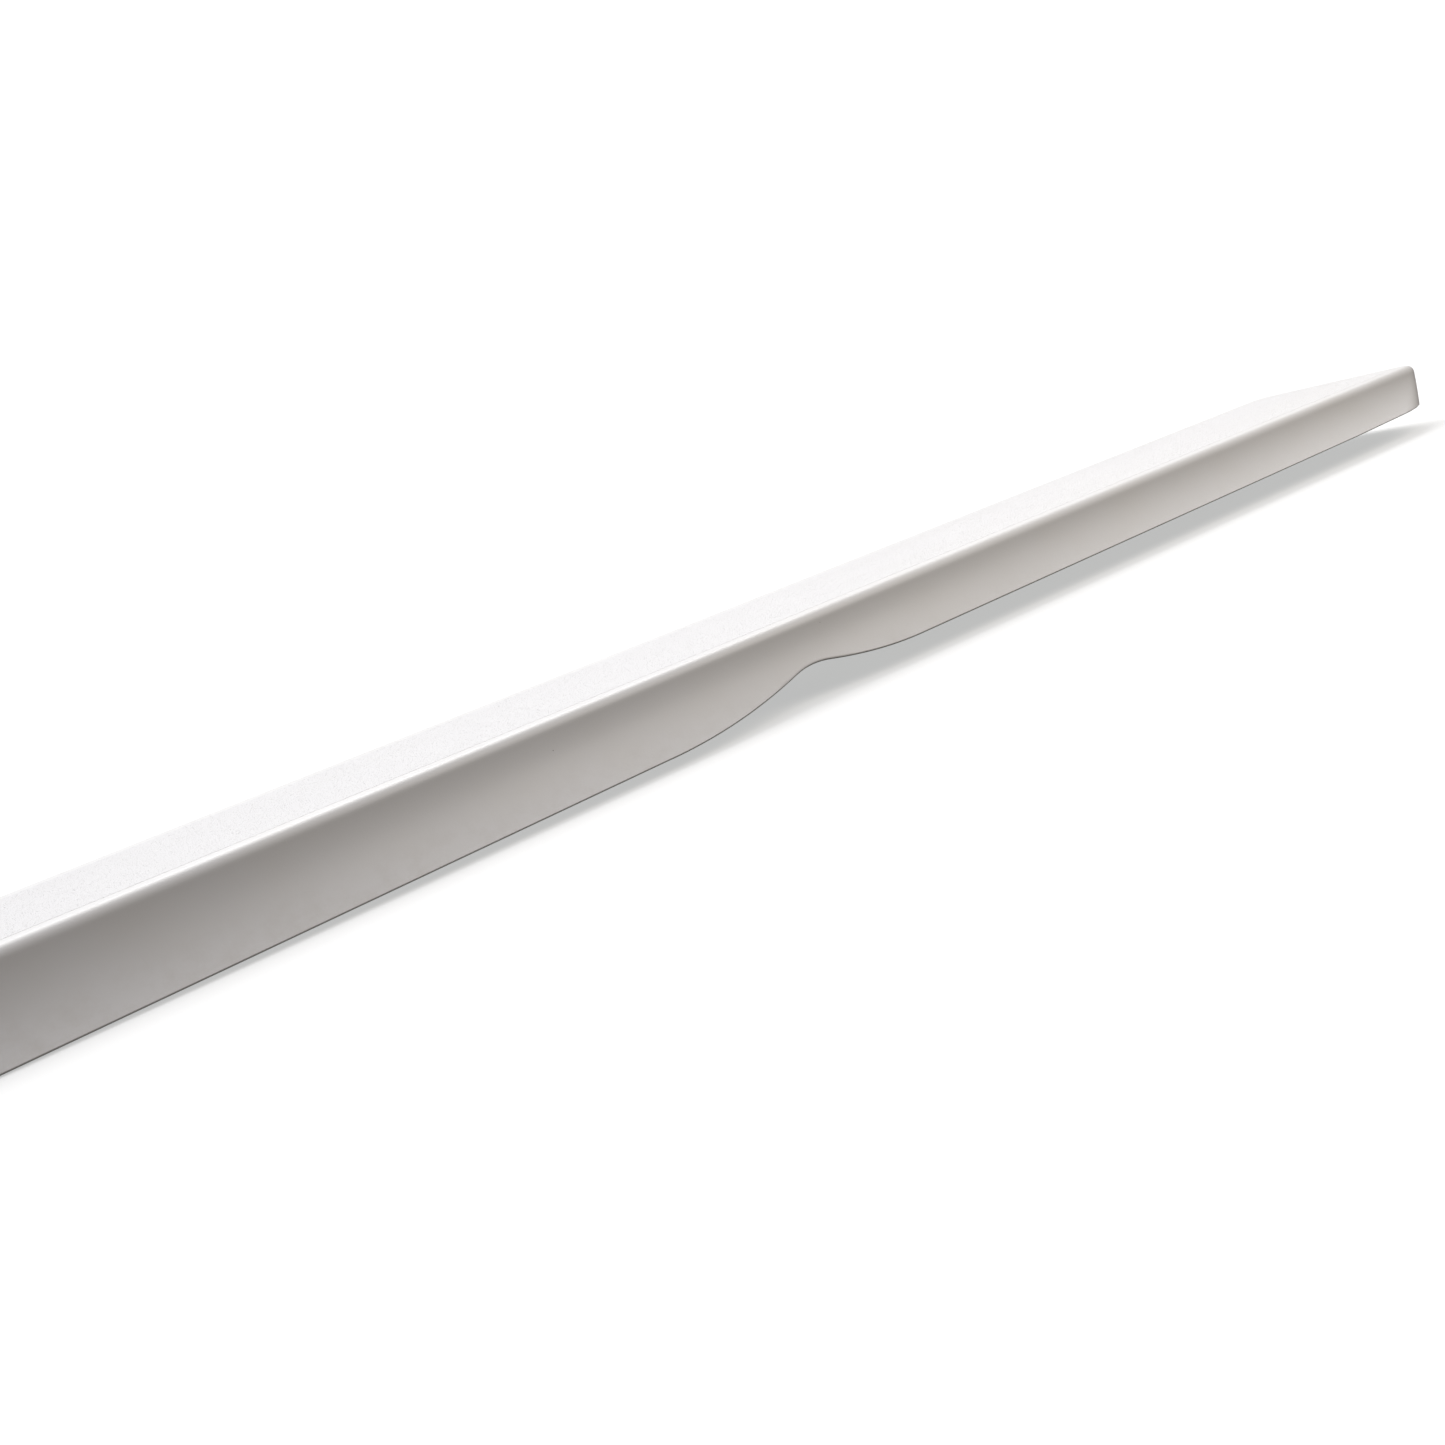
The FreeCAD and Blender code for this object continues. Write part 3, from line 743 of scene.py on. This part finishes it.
def tread_tree(material):
    """The film of paint, and grains scattered over it a little inside its edge."""
    tree, size = new_tree("Sanded tread", TREAD_SIZES)
    outline = plate_outline(tree, size["Length"], size["Width"], size["Corner"],
                            size["Middle"], TREAD_CORNER_POINTS)
    film = closed_plate(tree, outline, size["Base"], size["Film"])
    inner = plate_outline(tree, size["Length"] - BARE_BORDER, size["Width"] - BARE_BORDER,
                          size["Corner"], size["Middle"], TREAD_CORNER_POINTS)
    ground = put_height(tree, add_node(tree, "GeometryNodeFillCurve", Curve=inner).outputs[0],
                        size["Base"] + size["Film"] * GRAIN_FOOT)
    scatter = add_node(tree, "GeometryNodeDistributePointsOnFaces", Mesh=ground,
                       Density=size["Grains per square"], Seed=GRAIN_SEED)
    grain = add_node(tree, "GeometryNodeMeshCone", {"fill_type": "NGON"}, Vertices=3,
                     Radius_Top=0.0, Radius_Bottom=size["Grain"], Depth=size["Grain height"])
    heading = add_node(tree, "FunctionNodeRandomValue", {"data_type": "FLOAT"},
                       Seed=HEADING_SEED)
    heading.inputs[3].default_value = FULL_TURN
    growth = add_node(tree, "FunctionNodeRandomValue", {"data_type": "FLOAT"},
                      Seed=GROWTH_SEED)
    growth.inputs[2].default_value = SMALLEST_GRAIN
    growth.inputs[3].default_value = 1.0
    turn = add_node(tree, "ShaderNodeCombineXYZ", Z=heading.outputs[1])
    placed = add_node(tree, "GeometryNodeInstanceOnPoints", Points=scatter.outputs[0],
                      Instance=grain.outputs[0], Rotation=turn.outputs[0],
                      Scale=growth.outputs[1])
    together = tree.nodes.new("GeometryNodeJoinGeometry")
    tree.links.new(film, together.inputs[0])
    tree.links.new(placed.outputs[0], together.inputs[0])
    close_tree(tree, together.outputs[0], material)
    return tree


# %% Lay the tread
tread = grow("sanded_tread", tread_tree(sanded_finish), TREAD_SIZES, merge=0)
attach(tread, "root")
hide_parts("anti_slip_tread")

# %% [markdown]
# ## Fulcrum pad
#
# Under the notch a rubber pad takes the wear of the stand's bar. A moulded pad
# has ribs across it, so that the board can't creep on the bar. One rib is drawn
# and repeated by the tree at an even pitch.


# %% The rubber
def pad_rubber():
    rubber = Finish("pad_rubber")
    bloom = rubber.noise(18.0, 4, 0.65)
    rubbed = rubber.between(rubber.height(), 0.0445, 0.042, 0.0, 1.0)
    dark = rubber.mix(bloom, rgb(0.018, 0.018, 0.019), rgb(0.040, 0.039, 0.038))
    worn = rubber.mix(rubbed * 0.55, dark, rgb(0.095, 0.092, 0.088))
    rubber.put("Base Color", worn)
    rubber.put("Roughness", rubber.between(bloom, 0.3, 0.7, 0.5, 0.78))
    rubber.relief(rubber.noise(700.0, 3, 0.6), 0.0002, 0.5)
    return rubber.material


rubber_finish = pad_rubber()

# %% The pad tree
pad_low, pad_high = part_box("fulcrum_pad")
PAD_SIZES = {
    "Length": pad_high[0] - pad_low[0], "Width": pad_high[1] - pad_low[1],
    "Middle": (pad_high[0] + pad_low[0]) / 2, "Base": pad_low[2], "Top": pad_high[2],
    "Corner": 0.012, "Rib": 0.0025, "Pitch": 0.0075,
}
RIB_COUNT = 15
RIB_MARGIN = 0.012
PAD_CORNER_POINTS = 8
print("pad takes", RIB_COUNT, "ribs, one every", PAD_SIZES["Pitch"], "m")


def pad_tree(material):
    """A plate with half-sunk round ribs across its underside."""
    tree, size = new_tree("Ribbed pad", PAD_SIZES)
    outline = plate_outline(tree, size["Length"], size["Width"], size["Corner"],
                            size["Middle"], PAD_CORNER_POINTS)
    body = size["Base"] + size["Rib"]
    plate = closed_plate(tree, outline, body, size["Top"] - body)
    reach = size["Width"] / 2 - RIB_MARGIN
    start = add_node(tree, "ShaderNodeCombineXYZ", Y=reach * -1.0)
    stop = add_node(tree, "ShaderNodeCombineXYZ", Y=reach)
    line = add_node(tree, "GeometryNodeCurvePrimitiveLine", Start=start.outputs[0],
                    End=stop.outputs[0])
    round_bar = add_node(tree, "GeometryNodeCurvePrimitiveCircle", Resolution=16,
                         Radius=size["Rib"])
    rib = add_node(tree, "GeometryNodeCurveToMesh", Curve=line.outputs[0],
                   Profile_Curve=round_bar.outputs[0], Fill_Caps=True)
    first = add_node(tree, "ShaderNodeCombineXYZ",
                     X=size["Middle"] - size["Pitch"] * ((RIB_COUNT - 1) / 2), Z=body)
    step = add_node(tree, "ShaderNodeCombineXYZ", X=size["Pitch"])
    row = add_node(tree, "GeometryNodeMeshLine", Count=RIB_COUNT,
                   Start_Location=first.outputs[0], Offset=step.outputs[0])
    ribs = add_node(tree, "GeometryNodeInstanceOnPoints", Points=row.outputs[0],
                    Instance=rib.outputs[0])
    together = tree.nodes.new("GeometryNodeJoinGeometry")
    tree.links.new(plate, together.inputs[0])
    tree.links.new(ribs.outputs[0], together.inputs[0])
    close_tree(tree, together.outputs[0], material)
    return tree


# %% Set the pad
pad = grow("fulcrum_pad_ribbed", pad_tree(rubber_finish), PAD_SIZES, merge=0)
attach(pad, "root")
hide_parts("fulcrum_pad")

# %% [markdown]
# ## Finishes of the laminate
#
# The other pieces keep the shapes they have, and get a finish each. Chopped
# glass mat closes the underside: short straight strands lie every way in clear
# resin, so it is three crossed sets of fine streaks under a gloss. The wooden
# core and its blocks are out of sight in use, yet they are finished too, because
# a library part gets taken apart.


# %% Glass mat in resin
def glass_mat():
    mat = Finish("glass_laminate")
    strands = []
    for turn, stretch in ((0.3, (30.0, 420.0, 60.0)), (1.35, (34.0, 460.0, 60.0)),
                          (2.45, (28.0, 400.0, 60.0))):
        lie = mat.stretched(stretch, (0, 0, turn))
        strands.append(mat.between(mat.noise(1.0, 2, 0.5, lie), 0.52, 0.66))
    weave = strands[0].step("MAXIMUM", strands[1]).step("MAXIMUM", strands[2])
    pools = mat.noise(9.0, 4, 0.6)
    resin = mat.mix(pools, rgb(0.42, 0.46, 0.36), rgb(0.55, 0.56, 0.44))
    mat.put("Base Color", mat.mix(weave * 0.55, resin, rgb(0.74, 0.75, 0.68)))
    mat.put("Roughness", mat.between(pools, 0.3, 0.7, 0.22, 0.5))
    mat.put("Coat Weight", 0.3)
    mat.put("Coat Roughness", 0.2)
    mat.relief(weave, 0.0005, 0.6)
    mat.relief(pools, 0.0015, 0.4)
    return mat.material


# %% Wood, end blocks and filled resin
def timber(name, pale, dark, rings):
    wood = Finish(name)
    lie = wood.stretched((0.9, 22.0, 22.0))
    wander = wood.noise(1.6, 3, 0.5, lie)
    grain = ((wander * rings).step("FRACT") - 0.5).step("ABSOLUTE") * 2.0
    pores = wood.noise(1.0, 3, 0.6, wood.stretched((40.0, 900.0, 900.0)))
    tone = wood.mix(wood.between(grain, 0.15, 0.95), pale, dark)
    wood.put("Base Color", wood.mix(wood.between(pores, 0.55, 0.75, 0.0, 0.4), tone,
                                    (dark[0] * 0.6, dark[1] * 0.6, dark[2] * 0.6, 1.0)))
    wood.put("Roughness", wood.between(pores, 0.3, 0.7, 0.5, 0.72))
    wood.relief(grain, 0.0003, 0.4)
    wood.relief(pores, 0.0002, 0.5)
    return wood.material


def filled_resin():
    resin = Finish("bonding_resin")
    cloud = resin.noise(12.0, 5, 0.6)
    bubbles = resin.between(resin.cells(160.0), 0.10, 0.05)
    resin.put("Base Color", resin.mix(cloud, rgb(0.50, 0.44, 0.30), rgb(0.62, 0.56, 0.42)))
    resin.put("Roughness", resin.between(cloud, 0.3, 0.7, 0.35, 0.6))
    resin.relief(bubbles * -1.0, 0.0006, 0.7)
    resin.relief(cloud, 0.001, 0.4)
    return resin.material


# %% Turned stainless steel
def turned_steel():
    steel = Finish("sleeve_metal")
    rings = steel.noise(1.0, 2, 0.5, steel.stretched((60.0, 60.0, 4200.0)))
    smear = steel.noise(60.0, 3, 0.6)
    steel.put("Metallic", 1.0)
    steel.put("Base Color", steel.mix(smear, rgb(0.58, 0.57, 0.56), rgb(0.68, 0.68, 0.68)))
    steel.put("Roughness", steel.between(rings, 0.3, 0.7, 0.2, 0.38))
    steel.relief(rings, 0.00006, 0.5)
    return steel.material


# %% Put each finish on its pieces
mat_finish = glass_mat()
core_finish = timber("fir_core", rgb(0.62, 0.42, 0.22), rgb(0.42, 0.24, 0.10), 9.0)
block_finish = timber("hardwood_block", rgb(0.44, 0.24, 0.12), rgb(0.26, 0.13, 0.06), 6.0)
resin_finish = filled_resin()
steel_finish = turned_steel()
FINISH_OF = {
    "upper_laminate": mat_finish, "lower_laminate": mat_finish,
    "rear_end_block": block_finish, "tip_end_block": block_finish,
    "left_edge_rail": resin_finish, "right_edge_rail": resin_finish,
    "bolt_sleeve_left": steel_finish, "bolt_sleeve_right": steel_finish,
}
for node_name, node_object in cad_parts.items():
    finish = core_finish if node_name.startswith("core_stringer") else FINISH_OF.get(node_name)
    if finish:
        for place in node_object.material_slots:
            place.material = finish
print("finished", sorted(FINISH_OF), "and the core")

# %% [markdown]
# ## Floor, light and camera
#
# A white floor, a very wide softbox behind the board, a small one off the tip and
# a dim sky. The light from behind leaves the near cove in soft shade, and lays a
# short soft shadow on the near side of the lip. The floor glows a little, so that
# its shadow stays pale, but it sheds no light on the board, so that the cove
# keeps its depth.

# %% The floor
floor_mesh = bpy.data.meshes.new("floor")
REACH = 400.0
floor_mesh.from_pydata([(-REACH, -REACH, 0), (REACH, -REACH, 0), (REACH, REACH, 0),
                        (-REACH, REACH, 0)], [], [(0, 1, 2, 3)])
floor = bpy.data.objects.new("floor", floor_mesh)
bpy.context.scene.collection.objects.link(floor)
floor_paint = Finish("floor_paint")
floor_paint.put("Base Color", rgb(0.54, 0.54, 0.54))
floor_paint.put("Roughness", 1.0)
floor_paint.put("Specular IOR Level", 0.0)
floor_paint.put("Emission Color", rgb(0.99, 1.0, 0.995))
floor_paint.put("Emission Strength", 0.50)
floor_mesh.materials.append(floor_paint.material)
floor.visible_diffuse = False
floor.visible_glossy = False

# %% The sky
world = bpy.data.worlds.new("studio")
bpy.context.scene.world = world
world.use_nodes = True
sky = world.node_tree
sky.nodes.clear()
ray = sky.nodes.new("ShaderNodeLightPath")
seen = add_node(sky, "ShaderNodeBackground", Color=rgb(1, 1, 1), Strength=1.05)
direction = add_node(sky, "ShaderNodeSeparateXYZ",
                     Vector=sky.nodes.new("ShaderNodeTexCoord").outputs["Generated"])


def rise_between(axis, low, high):
    """A share that rises from 0 to 1 as a direction's part goes from low to high."""
    node = add_node(sky, "ShaderNodeMapRange", Value=direction.outputs[axis])
    node.inputs["From Min"].default_value = low
    node.inputs["From Max"].default_value = high
    return Flow(sky, node.outputs[0])


dome = add_node(sky, "ShaderNodeValToRGB", Fac=rise_between("Z", -1.0, 1.0))
SKY = ((0.0, (0.048, 0.044, 0.041)), (0.48, (0.066, 0.060, 0.056)),
       (0.52, (0.122, 0.110, 0.101)), (0.65, (0.220, 0.207, 0.200)),
       (1.0, (0.56, 0.56, 0.60)))
stops = dome.color_ramp.elements
while len(stops) < len(SKY):
    stops.new(0.5)
for stop, (place, colour) in zip(stops, SKY):
    stop.position = place
    stop.color = (*colour, 1.0)
behind = rise_between("Y", 0.12, 0.60) * rise_between("Z", -0.02, 0.03)
backdrop = add_node(sky, "ShaderNodeMix", {"data_type": "RGBA"})
plug(sky, backdrop.inputs[0], behind)
plug(sky, backdrop.inputs[6], dome.outputs[0])
plug(sky, backdrop.inputs[7], rgb(0.80, 0.80, 0.815))
lit = add_node(sky, "ShaderNodeBackground", Color=backdrop.outputs[2], Strength=1.0)
pick = sky.nodes.new("ShaderNodeMixShader")
sky.links.new(ray.outputs["Is Camera Ray"], pick.inputs[0])
sky.links.new(lit.outputs[0], pick.inputs[1])
sky.links.new(seen.outputs[0], pick.inputs[2])
world_out = sky.nodes.new("ShaderNodeOutputWorld")
sky.links.new(pick.outputs[0], world_out.inputs["Surface"])
print("sky from", SKY[0][1], "below to", SKY[-1][1], "overhead")


# %% Softboxes: a big one behind the board and a small one off the tip
def aim(thing, source):
    """Turn a light so that it shines from the source's direction."""
    thing.rotation_euler = source.to_track_quat("Z", "Y").to_euler()


key = bpy.data.lights.new("softbox_behind", "SUN")
key.energy = 1.85
key.angle = math.radians(56)
key_object = bpy.data.objects.new("softbox_behind", key)
bpy.context.scene.collection.objects.link(key_object)
aim(key_object, Vector((0.12, 0.60, 0.79)))

fill = bpy.data.lights.new("softbox_tip", "AREA")
fill.shape = "RECTANGLE"
fill.size, fill.size_y = 2.4, 1.5
fill.energy = 23.0
fill.color = (1.0, 0.93, 0.83)
fill_object = bpy.data.objects.new("softbox_tip", fill)
bpy.context.scene.collection.objects.link(fill_object)
FILL_TARGET = Vector((0.85, -0.2, 0.05))
fill_object.location = (0.95, -1.75, 1.70)
aim(fill_object, fill_object.location - FILL_TARGET)
print("lights:", key.name, key.energy, fill.name, fill.energy)

# %% The camera: low beside the board and rolled to the right
camera_data = bpy.data.cameras.new("camera")
camera_data.sensor_width = 36.0
camera_data.lens = 36.0
camera_data.clip_start = 0.01
camera_data.clip_end = 2000.0
camera = bpy.data.objects.new("camera", camera_data)
bpy.context.scene.collection.objects.link(camera)
yaw, pitch, roll = 1.0497, 0.1849, -0.3118
ahead = Vector((math.cos(pitch) * math.cos(yaw), math.cos(pitch) * math.sin(yaw),
                -math.sin(pitch)))
level_right = Vector((math.sin(yaw), -math.cos(yaw), 0.0))
level_up = level_right.cross(ahead)
right = level_right * math.cos(roll) + level_up * math.sin(roll)
up = level_up * math.cos(roll) - level_right * math.sin(roll)
turned = Matrix((right, up, -ahead)).transposed()
EYE = Vector((-1.1277, -1.6150, 0.3347))
camera.matrix_world = Matrix.Translation(EYE) @ turned.to_4x4()
bpy.context.scene.camera = camera
bpy.context.scene.view_settings.view_transform = "Standard"
print("camera at", tuple(round(v, 3) for v in camera.location), "lens", camera_data.lens)
